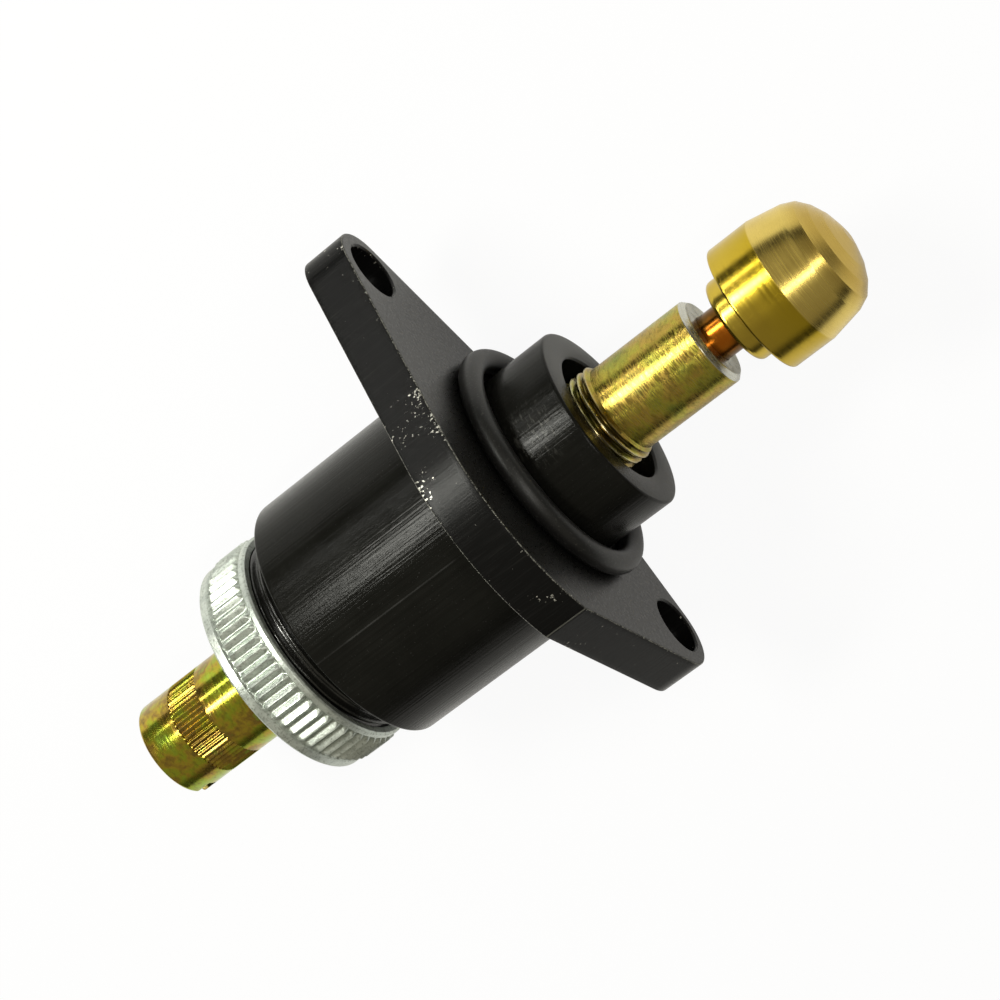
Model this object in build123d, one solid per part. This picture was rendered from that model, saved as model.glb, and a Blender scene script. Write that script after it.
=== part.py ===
from build123d import *
import os
from math import acos, atan2, cos, hypot, pi, radians, sin

# Hand-adjusted idle air control valve, in millimetres.
# The valve's axis is +X, towards the pintle, and the origin is on it at the flange's mounting face.
# +Y runs along the row of bolt holes towards the long ear, and +Z is up.

# Body: barrel, flange, spigot and neck
barrel_radius = 12.0
barrel_length = 18.2
barrel_rear_round = 0.35
flange_thickness = 4.25
spigot_radius = 8.75
spigot_reach = 7.4
spigot_edge = 0.25
front_bore_radius = 6.05
front_bore_depth = 11.4
neck_length = 5.85
neck_edge = 0.5
pocket_radius = 7.0

# Flange outline: two ears with a bolt hole each, a round crown on the upper side and slanted lower sides
bolt_hole_radius = 2.6
long_ear_reach = 22.0
long_ear_radius = 3.5
long_ear_shift = 0.4
short_ear_reach = 18.0
short_ear_radius = 4.1
short_ear_shift = 0.3
short_ear_rise = 0.5
crown_radius = 16.95
crown_shift = -0.5
crown_corner_angle = 117.4
lower_side_slope = 14.0
lower_side_round = 2.0
corner_tolerance = 0.01

# Flange seal, an O-ring that lies loose round the spigot
flange_seal_section = 1.05
flange_seal_slack = 0.6

# Spindle: sleeve, thread, shank and knob
sleeve_radius = 4.05
sleeve_length = 9.9
sleeve_edge = 0.45
thread_radius = 4.5
thread_length = 26.1
thread_edge = 0.3
shank_radius = 4.65
shank_length = 26.3
shank_edge = 0.3
running_clearance = 0.05
guide_length = 12.5
stop_distance = 5.0
stem_hole_depth = 7.0
knob_knurl_start = 3.75
knob_knurl_length = 3.2
knob_knurl_depth = 0.18
knob_knurl_ridges = 60
slot_width = 1.3
slot_depth = 1.6
slot_turn = -25.0

# Spindle seal, an O-ring in a groove of the shank
spindle_seal_section = 0.65
spindle_seal_distance = 1.3
spindle_seal_gap = 0.03
seal_groove_width = 1.6

# Brass pintle
stem_radius = 2.15
stem_engagement = 6.0
stem_exposed = 2.1
collar_radius = 3.9
collar_length = 1.9
collar_round = 0.5
head_radius = 5.95
head_cylinder_length = 4.05
head_rear_edge = 0.25
cone_front_radius = 5.37
cone_length = 3.0
dome_height = 2.95
dome_fullness = 1.8
dome_stations = (0.36, 0.62, 0.82, 0.95)

# Lock nut, lock bush and thrust washer
nut_radius = 10.8
nut_ring_wall = 1.0
nut_wall = 1.85
exposed_neck = 2.5
nut_bore_clearance = 0.05
nut_hole_clearance = 0.3
nut_rear_margin = 0.9
nut_front_margin = 0.6
nut_edge = 0.2
nut_ridges = 62
nut_ridge_height = 0.2
nut_groove_depth = 0.2
nut_groove_slope = 0.1
nut_ridge_root = 0.05
nut_ridge_bevel = 0.4
bush_length = 2.5
washer_thickness = 1.0
washer_protrusion = 0.2
pocket_clearance = 0.05

# Stations along the axis
flange_rear = -flange_thickness
barrel_rear = flange_rear - barrel_length
neck_rear = barrel_rear - neck_length
washer_rear = neck_rear - washer_protrusion
washer_front = washer_rear + washer_thickness
pocket_floor = washer_front + bush_length
guide_front = pocket_floor + guide_length
front_bore_floor = spigot_reach - front_bore_depth
shank_front = guide_front - stop_distance
thread_front = shank_front + thread_length
sleeve_front = thread_front + sleeve_length
spindle_rear = shank_front - shank_length
collar_rear = sleeve_front + stem_exposed
head_rear = collar_rear + collar_length
nut_front = barrel_rear - exposed_neck
nut_floor = washer_rear
nut_rear = nut_floor - nut_wall

# Radii that follow from the fits
guide_radius = shank_radius + running_clearance
tapped_radius = thread_radius + running_clearance
nut_hole_radius = shank_radius + nut_hole_clearance
nut_rim_radius = nut_radius - nut_ridge_height
neck_radius = nut_radius - nut_ring_wall - nut_bore_clearance
flange_seal_radius = spigot_radius + flange_seal_slack + flange_seal_section
spindle_seal_radius = guide_radius - spindle_seal_gap - spindle_seal_section
seal_groove_radius = spindle_seal_radius - spindle_seal_section - spindle_seal_gap
pocket_fill_radius = pocket_radius - pocket_clearance


def turned(outline, rounds=()):
    """Solid turned about the valve's axis from (x, radius) points, some of them rounded."""
    profile = make_face(Polyline(*[(x, 0, r) for x, r in outline], close=True))
    for number, radius in rounds:
        x, r = outline[number]
        corner = profile.vertices().sort_by_distance((x, 0, r))[0]
        profile = fillet(corner, radius)
    return revolve(profile, axis=Axis.X)


def rod(radius, start, end):
    """Plain cylinder on the valve's axis from start to end."""
    return turned([(start, 0), (start, radius), (end, radius), (end, 0)])


def ring_seal(ring_radius, section_radius, station):
    """O-ring about the valve's axis, centred at the station."""
    section = Plane.XZ * Pos(station, ring_radius) * Circle(section_radius)
    return revolve(section, axis=Axis.X)


def toothed_rod(radius, depth, ridges, start, end):
    """Rod on the valve's axis with straight V-shaped knurl ridges along it."""
    step = pi / ridges
    rim = [radius if number % 2 == 0 else radius - depth for number in range(2 * ridges)]
    points = [(r * cos(number * step), r * sin(number * step)) for number, r in enumerate(rim)]
    profile = make_face(Polyline(*points, close=True))
    return extrude(Plane.YZ.offset(start) * profile, end - start)


def on_circle(centre, radius, angle):
    """Point of a circle in the flange's plane, at an angle from +Y towards +Z."""
    return (centre[0] + radius * cos(angle), centre[1] + radius * sin(angle))


def flange_outline():
    """Flange outline: round crown, an ear on each side, and slanted lower sides that run into the barrel."""
    crown = (crown_shift, 0)
    long_ear = (long_ear_reach + long_ear_shift, 0)
    short_ear = (short_ear_shift - short_ear_reach, short_ear_rise)
    side_angle = acos((crown_radius - long_ear_radius) / (long_ear[0] - crown[0]))
    corner_angle = radians(crown_corner_angle)
    corner = on_circle(crown, crown_radius, corner_angle)
    reach = (corner[0] - short_ear[0], corner[1] - short_ear[1])
    short_side_angle = atan2(reach[1], reach[0]) + acos(short_ear_radius / hypot(*reach))
    long_lower = radians(lower_side_slope - 90)
    short_lower = radians(-90 - lower_side_slope)

    crown_start = on_circle(crown, crown_radius, side_angle)
    crown_middle = on_circle(crown, crown_radius, (side_angle + corner_angle) / 2)
    short_start = on_circle(short_ear, short_ear_radius, short_side_angle)
    short_tip = on_circle(short_ear, short_ear_radius, pi)
    short_end = on_circle(short_ear, short_ear_radius, short_lower)
    short_depth = short_ear[0] * cos(short_lower) + short_ear[1] * sin(short_lower) + short_ear_radius
    long_depth = long_ear[0] * cos(long_lower) + long_ear_radius
    short_foot = on_circle((0, 0), short_depth, short_lower)
    long_foot = on_circle((0, 0), long_depth, long_lower)
    long_start = on_circle(long_ear, long_ear_radius, long_lower)
    long_tip = on_circle(long_ear, long_ear_radius, 0)
    long_end = on_circle(long_ear, long_ear_radius, side_angle)

    plate = make_face([
        ThreePointArc(crown_start, crown_middle, corner),
        Line(corner, short_start),
        ThreePointArc(short_start, short_tip, short_end),
        Polyline(short_end, short_foot, long_foot, long_start),
        ThreePointArc(long_start, long_tip, long_end),
        Line(long_end, crown_start),
    ])
    outline = plate + Circle(barrel_radius)
    barrel_reach = barrel_radius + corner_tolerance
    lower_corners = [v for v in outline.vertices() if v.Y < 0 and hypot(v.X, v.Y) < barrel_reach]
    return fillet(lower_corners, lower_side_round)


def valve_body():
    """Black body: turned barrel, spigot and neck with the flange, and the bore through all of it."""
    outside = turned(
        [
            (neck_rear, 0),
            (neck_rear, neck_radius - neck_edge),
            (neck_rear + neck_edge, neck_radius),
            (barrel_rear, neck_radius),
            (barrel_rear, barrel_radius),
            (0, barrel_radius),
            (0, spigot_radius),
            (spigot_reach - spigot_edge, spigot_radius),
            (spigot_reach, spigot_radius - spigot_edge),
            (spigot_reach, 0),
        ],
        rounds=[(4, barrel_rear_round)],
    )
    flange = extrude(Plane.YZ * flange_outline(), -flange_thickness)
    bolt_holes = [
        Pos(0, place, 0) * rod(bolt_hole_radius, flange_rear, 0)
        for place in (long_ear_reach, -short_ear_reach)
    ]
    bore = rod(front_bore_radius, front_bore_floor, spigot_reach)
    bore += rod(tapped_radius, guide_front, front_bore_floor)
    bore += rod(guide_radius, pocket_floor, guide_front)
    bore += rod(pocket_radius, neck_rear, pocket_floor)
    return outside + flange - bolt_holes - bore


def spindle():
    """Yellow-zinc spindle: drilled sleeve, thread, shank with the seal's groove, knurled knob and slot."""
    seal_station = shank_front - spindle_seal_distance
    groove_front = seal_station + seal_groove_width / 2
    groove_rear = seal_station - seal_groove_width / 2
    outside = turned([
        (spindle_rear, 0),
        (spindle_rear, shank_radius - shank_edge),
        (spindle_rear + shank_edge, shank_radius),
        (groove_rear, shank_radius),
        (groove_rear, seal_groove_radius),
        (groove_front, seal_groove_radius),
        (groove_front, shank_radius),
        (shank_front, shank_radius),
        (shank_front, thread_radius),
        (thread_front - thread_edge, thread_radius),
        (thread_front, sleeve_radius),
        (sleeve_front - sleeve_edge, sleeve_radius),
        (sleeve_front, sleeve_radius - sleeve_edge),
        (sleeve_front, 0),
    ])
    knurl_rear = spindle_rear + knob_knurl_start
    knurl_front = knurl_rear + knob_knurl_length
    band = rod(shank_radius, knurl_rear, knurl_front)
    ridges = toothed_rod(shank_radius, knob_knurl_depth, knob_knurl_ridges, knurl_rear, knurl_front)
    stem_hole = rod(stem_radius, sleeve_front - stem_hole_depth, sleeve_front)
    slot = Pos(spindle_rear + slot_depth / 2, 0, 0) * Box(slot_depth, 2 * shank_radius, slot_width)
    return outside - band + ridges - stem_hole - Rot(slot_turn, 0, 0) * slot


def valve_pintle():
    """Brass pintle turned in one piece: stem, rounded collar, cylinder, cone and a dome cut in facets."""
    cone_rear = head_rear + head_cylinder_length
    dome_rear = cone_rear + cone_length
    dome = [
        (dome_rear + dome_height * u, cone_front_radius * (1 - u**dome_fullness) ** (1 / dome_fullness))
        for u in dome_stations
    ]
    tip = dome_rear + dome_height
    return turned(
        [
            (sleeve_front - stem_engagement, 0),
            (sleeve_front - stem_engagement, stem_radius),
            (collar_rear, stem_radius),
            (collar_rear, collar_radius),
            (head_rear, collar_radius),
            (head_rear, head_radius - head_rear_edge),
            (head_rear + head_rear_edge, head_radius),
            (cone_rear, head_radius),
            (dome_rear, cone_front_radius),
            *dome,
            (tip, dome[-1][1] / 2),
            (tip, 0),
        ],
        rounds=[(3, collar_round)],
    )


def lock_nut():
    """Ring nut: plain margins, knurl ridges in a shallow groove, and a hole for the knob in its rear wall."""
    bore_radius = neck_radius + nut_bore_clearance
    groove_radius = nut_rim_radius - nut_groove_depth
    groove_rear = nut_rear + nut_rear_margin
    groove_front = nut_front - nut_front_margin
    ridge_rear = groove_rear + nut_groove_slope
    ridge_front = groove_front - nut_groove_slope
    rim = turned([
        (nut_rear, nut_hole_radius),
        (nut_rear, nut_rim_radius - nut_edge),
        (nut_rear + nut_edge, nut_rim_radius),
        (groove_rear, nut_rim_radius),
        (ridge_rear, groove_radius),
        (ridge_front, groove_radius),
        (groove_front, nut_rim_radius),
        (nut_front - nut_edge, nut_rim_radius),
        (nut_front, nut_rim_radius - nut_edge),
        (nut_front, bore_radius),
        (nut_floor, bore_radius),
        (nut_floor, nut_hole_radius),
    ])
    root_radius = groove_radius - nut_ridge_root
    band = turned([
        (ridge_rear, root_radius),
        (ridge_rear + nut_ridge_bevel, nut_radius),
        (ridge_front - nut_ridge_bevel, nut_radius),
        (ridge_front, root_radius),
    ])
    ridges = toothed_rod(nut_radius, nut_radius - root_radius, nut_ridges, ridge_rear, ridge_front)
    return rim + (band & ridges)


def sleeve_ring(inner_radius, outer_radius, start, end):
    """Plain ring about the valve's axis."""
    return turned([(start, inner_radius), (start, outer_radius), (end, outer_radius), (end, inner_radius)])


parts = {
    "valve_body": valve_body(),
    "flange_seal": ring_seal(flange_seal_radius, flange_seal_section, flange_seal_section),
    "spindle": spindle(),
    "spindle_seal": ring_seal(spindle_seal_radius, spindle_seal_section, shank_front - spindle_seal_distance),
    "valve_pintle": valve_pintle(),
    "lock_nut": lock_nut(),
    "lock_bush": sleeve_ring(guide_radius, pocket_fill_radius, washer_front, pocket_floor),
    "thrust_washer": sleeve_ring(nut_hole_radius, pocket_fill_radius, washer_rear, washer_front),
}

os.makedirs("parts", exist_ok=True)
for name, solid in parts.items():
    export_step(solid, f"parts/{name}.step")
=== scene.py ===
from math import acos, atan2, cos, hypot, pi, radians, sin

import bmesh
import bpy
import numpy as np
from mathutils import Matrix, Vector
from mathutils.geometry import delaunay_2d_cdt


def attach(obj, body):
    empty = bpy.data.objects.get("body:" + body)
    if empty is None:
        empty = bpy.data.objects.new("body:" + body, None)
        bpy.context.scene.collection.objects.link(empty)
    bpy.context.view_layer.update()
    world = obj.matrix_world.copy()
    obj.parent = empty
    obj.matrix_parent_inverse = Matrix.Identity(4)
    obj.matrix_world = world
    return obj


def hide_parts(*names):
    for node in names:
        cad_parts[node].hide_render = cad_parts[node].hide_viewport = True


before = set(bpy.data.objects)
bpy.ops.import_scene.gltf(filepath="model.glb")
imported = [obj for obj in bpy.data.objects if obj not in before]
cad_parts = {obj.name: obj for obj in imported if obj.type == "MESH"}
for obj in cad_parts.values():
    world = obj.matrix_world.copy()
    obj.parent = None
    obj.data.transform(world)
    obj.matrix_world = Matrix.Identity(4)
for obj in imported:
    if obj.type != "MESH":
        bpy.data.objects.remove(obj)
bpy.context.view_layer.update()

# Lengths below are in millimetres, in the frame's axes, and MM brings them to metres in the meshes
MM = 0.001

# Valve body, its flange's front face at nought
barrel_radius = 12.0
barrel_rear_round = 0.35
flange_front = 0.0
flange_thickness = 4.25
flange_rear = flange_front - flange_thickness
spigot_radius = 8.75
spigot_reach = 7.4
spigot_edge = 0.25
front_bore_radius = 6.05
front_bore_floor = -4.0
tapped_radius = 4.55
guide_radius = 4.7
guide_front = -12.5
pocket_radius = 7.0
pocket_floor = -25.0
barrel_rear = -22.45
neck_rear = -28.3
neck_radius = 9.75
neck_edge = 0.5
neck_pitch = 1.0
neck_thread_depth = 0.45
neck_thread_fade = 0.4
neck_run_out = 0.35
neck_seam = 0.02
bore_edge = 0.25
flange_overlap = 0.5

# Flange outline
bolt_hole_radius = 2.6
bolt_hole_chamfer = 0.18
long_ear_reach = 22.0
long_ear_radius = 3.5
long_ear_shift = 0.4
short_ear_reach = 18.0
short_ear_radius = 4.1
short_ear_shift = 0.3
short_ear_rise = 0.5
crown_radius = 16.95
crown_shift = -0.5
crown_corner_angle = radians(117.4)
lower_side_slope = radians(14.0)
lower_side_round = 2.0
flange_edge = 0.14
lower_stand_off = 0.02
lower_radius = barrel_radius + lower_stand_off
spigot_overlap = 0.2

# Flange's wear: rows over an edge, and how far the burr and the wear reach in from it
edge_wear_rows = (0.75, 1.0, 1.0, 0.75)
burr_reach, burr_wear = 0.22, 0.5
wear_reach = 0.34
hole_wear_reach = 0.26
hole_edge_wear = 0.8
rim_margin = 0.6

# Places on the flange's rim where the black is chipped: centre, radius, strength
worn_patches = (
    ((-1.1, 14.6, 7.6), 1.4, 0.6),
    ((-0.6, 12.6, 10.8), 1.6, 0.6),
    ((-0.3, 10.4, 13.0), 1.2, 0.55),
    ((-3.2, 11.1, 12.3), 1.4, 0.45),
    ((-3.3, 8.0, 14.7), 0.9, 0.55),
    ((-4.2, 6.5, 15.4), 1.2, 0.6),
    ((-1.9, -4.8, 16.4), 0.7, 0.55),
    ((-1.1, -5.9, 16.1), 0.7, 0.7),
    ((-1.5, 25.6, 0.9), 1.6, 0.4),
    ((-3.9, -10.5, 12.0), 1.8, 0.4),
)

# Marks on the finishes as centre and reach: a scratch along the barrel, scuffs on the spigot that are partly
# a painted highlight, and the spot of painted orange reflection on the stem, which is otherwise in painted
# shadow. Then the reach of the bright line on the crown's corner, and the painted shadow of the nut on the
# shank as distance from the nut's rear face and strength.
barrel_scratch = ((0.0, 0.65, 11.98), 0.1)
spigot_scuff_and_highlight = ((4.0, 4.2, 7.7), 3.2)
orange_reflection_spot = ((19.3, 0.2, 2.14), 2.4)
corner_line_reach = 0.2
nut_shadow_on_shank = ((-1.2, 0.0), (-0.2, 0.8), (0.5, 0.0))

# Axes along which a distance is measured: from a point, and from the valve's axis
all_axes = (1, 1, 1)
off_axis = (0, 1, 1)

# Flange seal
flange_seal_radius = 10.4
flange_seal_section = 1.05
flange_seal_station = flange_front + flange_seal_section

# Spindle
sleeve_radius = 4.05
sleeve_front = 18.5
sleeve_edge = 0.45
thread_radius = 4.5
thread_front = 8.6
thread_pitch = 0.75
thread_depth = 0.4
thread_edge = 0.3
shank_radius = 4.65
shank_front = -17.5
shank_edge = 0.3
spindle_rear = -43.8
seal_groove_radius = 3.34
seal_groove_rear = -19.6
seal_groove_front = -18.0
stem_hole_radius = 2.15
stem_hole_floor = 11.5
knob_knurl_rear = -40.05
knob_knurl_front = -36.85
knob_knurl_depth = 0.18
knob_knurl_ridges = 60
knob_face_ring = 2.0
sleeve_round = 0.1
stem_hole_round = 0.15
hidden_thread_end = -9.0
slot_width = 1.3
slot_depth = 1.6
slot_turn = radians(-25.0)
slot_spare = 1.0
slot_touch = 0.005

# Pintle
stem_radius = 2.15
stem_rear = 12.5
collar_radius = 3.9
collar_rear = 20.6
collar_round = 0.5
stem_fillet = 0.2
collar_fillet = 0.1
head_radius = 5.95
head_rear = 22.5
head_rear_edge = 0.25
cone_rear = 26.55
cone_front_radius = 5.37
dome_rear = 29.55
dome_height = 2.95
dome_fullness = 1.8
dome_stations = (0.36, 0.62, 0.82, 0.95)

# Lock nut
nut_radius = 10.8
nut_rear = -30.35
nut_floor = -28.5
nut_front = -24.95
nut_rim_radius = 10.6
nut_groove_radius = 10.4
nut_rear_margin = 0.9
nut_front_margin = 0.6
nut_edge = 0.2
nut_ridges = 62
nut_ridge_share = 0.8
nut_ridge_end = 0.5
nut_groove_slope = 0.18
nut_hole_radius = 4.95
nut_hole_round = 0.2
nut_fillet = 0.1
nut_ridge_round = 0.06
nut_bore_clearance = 0.05

# Depth of the thread and of the nut's knurl as shares of the radius, and the part of it that counts as crest
crest_share = 0.4
thread_valley = thread_depth / thread_radius
thread_crest = crest_share * thread_valley
nut_valley = (nut_radius - nut_groove_radius) / nut_radius
nut_crest = crest_share * nut_valley

# Fineness of the meshes: rows, columns and spacings, and the angles in degrees past which an edge is sharp
row_gap = 0.05
neck_thread_rows = 14
thread_rows = 8
knurl_row = 0.15
rim_rows = 9
nut_band_rows = 9
nut_ridge_end_rows = 12
nut_ridge_columns = 16
body_columns = 300
spindle_columns = 360
pintle_columns = 240
seal_columns = 240
seal_section_points = 48
bolt_hole_columns = 64
outline_spacing = 0.4
arc_spacing = 0.25
fillet_steps = 5
smooth_limit = 28
facet_limit = 8
nut_smooth_limit = 40
ridge_flat = 0.075
flat_touch = 1e-6
same_point = 1e-4

# Colours of the finishes, as linear red, green and blue
dark_black, light_black = (0.005, 0.005, 0.0042), (0.011, 0.011, 0.0095)
# The grey of the spigot's scuffs is partly a painted highlight
dust_grey, scratch_grey, scuff_and_highlight_grey = (0.3, 0.3, 0.3), (0.12, 0.12, 0.12), (0.2, 0.2, 0.18)
burr_grey, bare_aluminium = (0.36, 0.36, 0.32), (0.62, 0.61, 0.55)
rubber_dust = (0.11, 0.11, 0.1)
# The third brown is painted shade: in the thread's grooves, in the knob's slot and on the shank by the nut
mottle_brown, knurl_brown, painted_shade_brown = (0.2, 0.15, 0.03), (0.24, 0.15, 0.03), (0.05, 0.04, 0.02)
# The third zinc colour is painted shade on the sleeve's front face
crest_zinc, bare_zinc, end_face_shade = (0.60, 0.56, 0.42), (0.60, 0.60, 0.54), (0.16, 0.15, 0.09)
dull_zinc, bright_zinc = (0.48, 0.53, 0.49), (0.72, 0.77, 0.71)
# The valley colour is painted shade in the nut's knurl valleys
valley_shade_zinc, pit_zinc = (0.20, 0.24, 0.18), (0.14, 0.16, 0.12)
collar_gold, deep_gold = (0.66, 0.48, 0.07), (0.58, 0.41, 0.025)
pale_gold, tip_gold = (0.79, 0.60, 0.16), (0.56, 0.39, 0.09)
# The stem's orange is a painted reflection, and its dark stain is a painted shadow over the rest of the stem
orange_reflection, tarnish_brown, stem_shadow = (0.6, 0.16, 0.012), (0.42, 0.27, 0.04), (0.07, 0.05, 0.01)
dark_nylon, light_nylon = (0.70, 0.69, 0.62), (0.80, 0.79, 0.73)

# Clouded colours of the yellow zinc, from the lowest value of its noise to the highest
sleeve_clouds = (
    (0.30, (0.30, 0.33, 0.06)),
    (0.44, (0.46, 0.40, 0.06)),
    (0.56, (0.50, 0.34, 0.07)),
    (0.70, (0.36, 0.31, 0.07)),
)
knob_clouds = (
    (0.34, (0.36, 0.50, 0.05)),
    (0.45, (0.40, 0.42, 0.03)),
    (0.52, (0.50, 0.36, 0.04)),
    (0.60, (0.30, 0.18, 0.04)),
    (0.68, (0.36, 0.46, 0.06)),
)

# Noise of the finishes: size of its features, their stretch along the axes, detail and roughness
even = (1, 1, 1)
turning_lines = (0.22, (90, 1, 1), 4.0, 0.6)
turning_grain = (0.16, even, 2.0, 0.5)
turning_cloud = (5.0, even, 3.0, 0.6)
spigot_scrapes = (0.3, (1, 4, 4), 4.0, 0.7)
flange_grain = (0.14, even, 3.0, 0.6)
flange_satin = (0.35, even, 3.0, 0.6)
rim_lines = (0.16, (30, 1, 1), 4.0, 0.65)
rim_chips = (0.24, (1.4, 1, 1), 3.0, 0.6)
rubber_grain = (0.12, even, 3.0, 0.5)
rubber_cloud = (3.0, even, 3.0, 0.5)
rubber_specks = (0.2, even, 3.0, 0.6)
zinc_cloud = (2.4, even, 5.0, 0.6)
zinc_mottle = (0.35, (1, 2, 2), 3.0, 0.65)
zinc_marks = (0.13, (1, 9, 9), 3.0, 0.65)
plating_cloud = (1.2, even, 4.0, 0.6)
plating_pits = (0.22, even, 3.0, 0.65)
brass_rings = (0.12, (1, 80, 80), 4.0, 0.7)
brass_cloud = (3.0, even, 3.0, 0.6)
stem_patches = (0.9, even, 3.0, 0.6)
nylon_cloud = (1.5, even, 3.0, 0.5)

# Camera, fitted to the photograph
camera_place = (67.186, 39.055, 205.337)
camera_right = (0.752093, -0.643708, -0.141405)
camera_forward = (-0.325629, -0.176405, -0.928896)
camera_lens = 93.42
camera_near = 1.0

# Studio: lamps as place, size, power and colour, and the shares of plain white that the floor shows
lamps = {
    "key": ((-115, 200, 264), (170, 55), 0.9, (1.0, 1.0, 0.92)),
    "window": ((-115, 300, 140), (200, 20), 0.12, (1.0, 1.0, 0.95)),
    "strip": ((150, 14, 320), (30, 300), 0.3, (1.0, 0.98, 0.92)),
}
lamp_target = (-5, 0, 0)
floor_drop = 0.1
floor_reach = 3000.0
floor_grey = 0.92
seen_white = 0.93
mirrored_white = 0.28
low_sky, high_sky = (0.03, 0.03, 0.03), (0.26, 0.24, 0.19)
sky_start, sky_end = 0.22, 0.42


def grid_faces(rows, columns, close_rows=False, close_columns=True):
    """Quads of a grid of points numbered row by row.

    Each quad goes from corner (i, j) to the next column, to both next, and to the next row.
    """
    i = np.arange(rows if close_rows else rows - 1)
    j = np.arange(columns if close_columns else columns - 1)
    i, j = np.meshgrid(i, j, indexing="ij")
    next_i = (i + 1) % rows
    next_j = (j + 1) % columns
    corners = [i * columns + j, i * columns + next_j, next_i * columns + next_j, next_i * columns + j]
    return np.stack(corners, -1).reshape(-1, 4)


def set_mesh(name, points, faces, sharp_angle=smooth_limit):
    """Object at the origin from points in millimetres and a list of arrays of equal-sided faces."""
    mesh = bpy.data.meshes.new(name)
    sizes = np.concatenate([np.full(len(f), f.shape[1]) for f in faces])
    loops = np.concatenate([f.ravel() for f in faces])
    mesh.vertices.add(len(points))
    mesh.vertices.foreach_set("co", (points * MM).astype(np.float32).ravel())
    mesh.loops.add(len(loops))
    mesh.loops.foreach_set("vertex_index", loops.astype(np.int32))
    mesh.polygons.add(len(sizes))
    mesh.polygons.foreach_set("loop_start", np.concatenate([[0], np.cumsum(sizes)[:-1]]).astype(np.int32))
    mesh.update(calc_edges=True)
    mesh.validate()
    mesh.shade_smooth()
    mesh.set_sharp_from_angle(angle=radians(sharp_angle))
    piece = bpy.data.objects.new(name, mesh)
    bpy.context.scene.collection.objects.link(piece)
    return piece


def rounded_line(corners):
    """Polyline of (x, r, fillet) corners, each fillet an arc of equal angles between its tangent points."""
    line = []
    for k, (x, r, fillet) in enumerate(corners):
        here = np.array([x, r], float)
        if fillet == 0:
            line.append(here[None])
            continue
        back = np.array(corners[k - 1][:2], float) - here
        ahead = np.array(corners[(k + 1) % len(corners)][:2], float) - here
        back /= np.linalg.norm(back)
        ahead /= np.linalg.norm(ahead)
        half = acos(np.clip(back @ ahead, -1, 1)) / 2
        middle = (back + ahead) / np.linalg.norm(back + ahead)
        centre = here + middle * fillet / sin(half)
        start = here + back * fillet / np.tan(half) - centre
        end = here + ahead * fillet / np.tan(half) - centre
        turn = np.linspace(0, 1, fillet_steps + 1)[:, None]
        sweep = pi - 2 * half
        line.append(centre + (np.sin((1 - turn) * sweep) * start + np.sin(turn * sweep) * end) / sin(sweep))
    return np.concatenate(line)


def turned_piece(name, line, columns, closed=True, relief=None, sharp_angle=smooth_limit):
    """Surface of a profile of (x, r) rows turned about the X axis.

    Row x lies at (x, r cos a, r sin a), with a from nought round to a full turn. A relief gives the radius
    for each x, r and a.
    """
    x = line[:, :1]
    r = line[:, 1:] + np.zeros((1, columns))
    angle = np.arange(columns)[None] * 2 * pi / columns
    if relief is not None:
        r = relief(x, r, angle)
    points = np.stack([x + 0 * r, r * np.cos(angle), r * np.sin(angle)], -1).reshape(-1, 3)
    return set_mesh(name, points, [grid_faces(len(line), columns, close_rows=closed)], sharp_angle)


def merge_poles(piece):
    """Joins the points of a turned surface that lie together on its axis."""
    work = bmesh.new()
    work.from_mesh(piece.data)
    bmesh.ops.remove_doubles(work, verts=work.verts, dist=same_point * MM)
    bmesh.ops.dissolve_degenerate(work, dist=flat_touch * MM, edges=work.edges)
    work.to_mesh(piece.data)
    work.free()
    return piece


def ridge_wave(phase):
    """Wave from 0 on a ridge's crest to 1 in its valley, with both a little rounded."""
    slope = np.abs((phase % 1.0) * 2 - 1)
    rise = np.clip(slope * (1 + 2 * ridge_flat) - ridge_flat, 0, 1)
    return 0.5 + 0.5 * np.cos(pi * rise)


def thread_relief(pitch, depth, start, end, fade):
    """Screw thread: the radius drops by a rounded V wave of x over pitch less angle over a turn."""

    def relief(x, r, angle):
        window = np.clip((x - start) / fade, 0, 1) * np.clip((end - x) / fade, 0, 1)
        return r - depth * window * ridge_wave(x / pitch - angle / (2 * pi))
    return relief


def rows_between(start, end, radius, spacing):
    """Profile rows of one radius from start to end, about spacing apart."""
    count = max(2, int(abs(end - start) / spacing) + 1)
    x = np.linspace(start, end, count)
    return np.stack([x, np.full(count, radius)], 1)


def body_of_revolution():
    """Barrel, threaded neck, spigot and the stepped bore, turned as one closed profile."""
    neck_row = neck_pitch / neck_thread_rows
    neck_rows = rows_between(neck_rear + neck_edge, barrel_rear - neck_seam, neck_radius, neck_row)
    outside = rounded_line([
        (barrel_rear, neck_radius, 0),
        (barrel_rear, barrel_radius, barrel_rear_round),
        (-flange_overlap, barrel_radius, 0),
        (-flange_overlap, spigot_radius, 0),
        (spigot_reach, spigot_radius, spigot_edge),
        (spigot_reach, front_bore_radius, bore_edge),
        (front_bore_floor, front_bore_radius, 0),
        (front_bore_floor, tapped_radius, 0),
        (guide_front, tapped_radius, 0),
        (guide_front, guide_radius, 0),
        (pocket_floor, guide_radius, 0),
        (pocket_floor, pocket_radius, 0),
        (neck_rear, pocket_radius, 0),
        (neck_rear, neck_radius - neck_edge, 0),
    ])
    line = np.concatenate([neck_rows, outside])
    thread_end = barrel_rear - neck_run_out
    relief = thread_relief(neck_pitch, neck_thread_depth, neck_rear, thread_end, neck_thread_fade)

    def neck_only(x, r, angle):
        on_neck = (np.arange(len(x)) < len(neck_rows))[:, None]
        return np.where(on_neck, relief(x, r, angle), r)

    return turned_piece("body_turning", line, body_columns, relief=neck_only)


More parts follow.
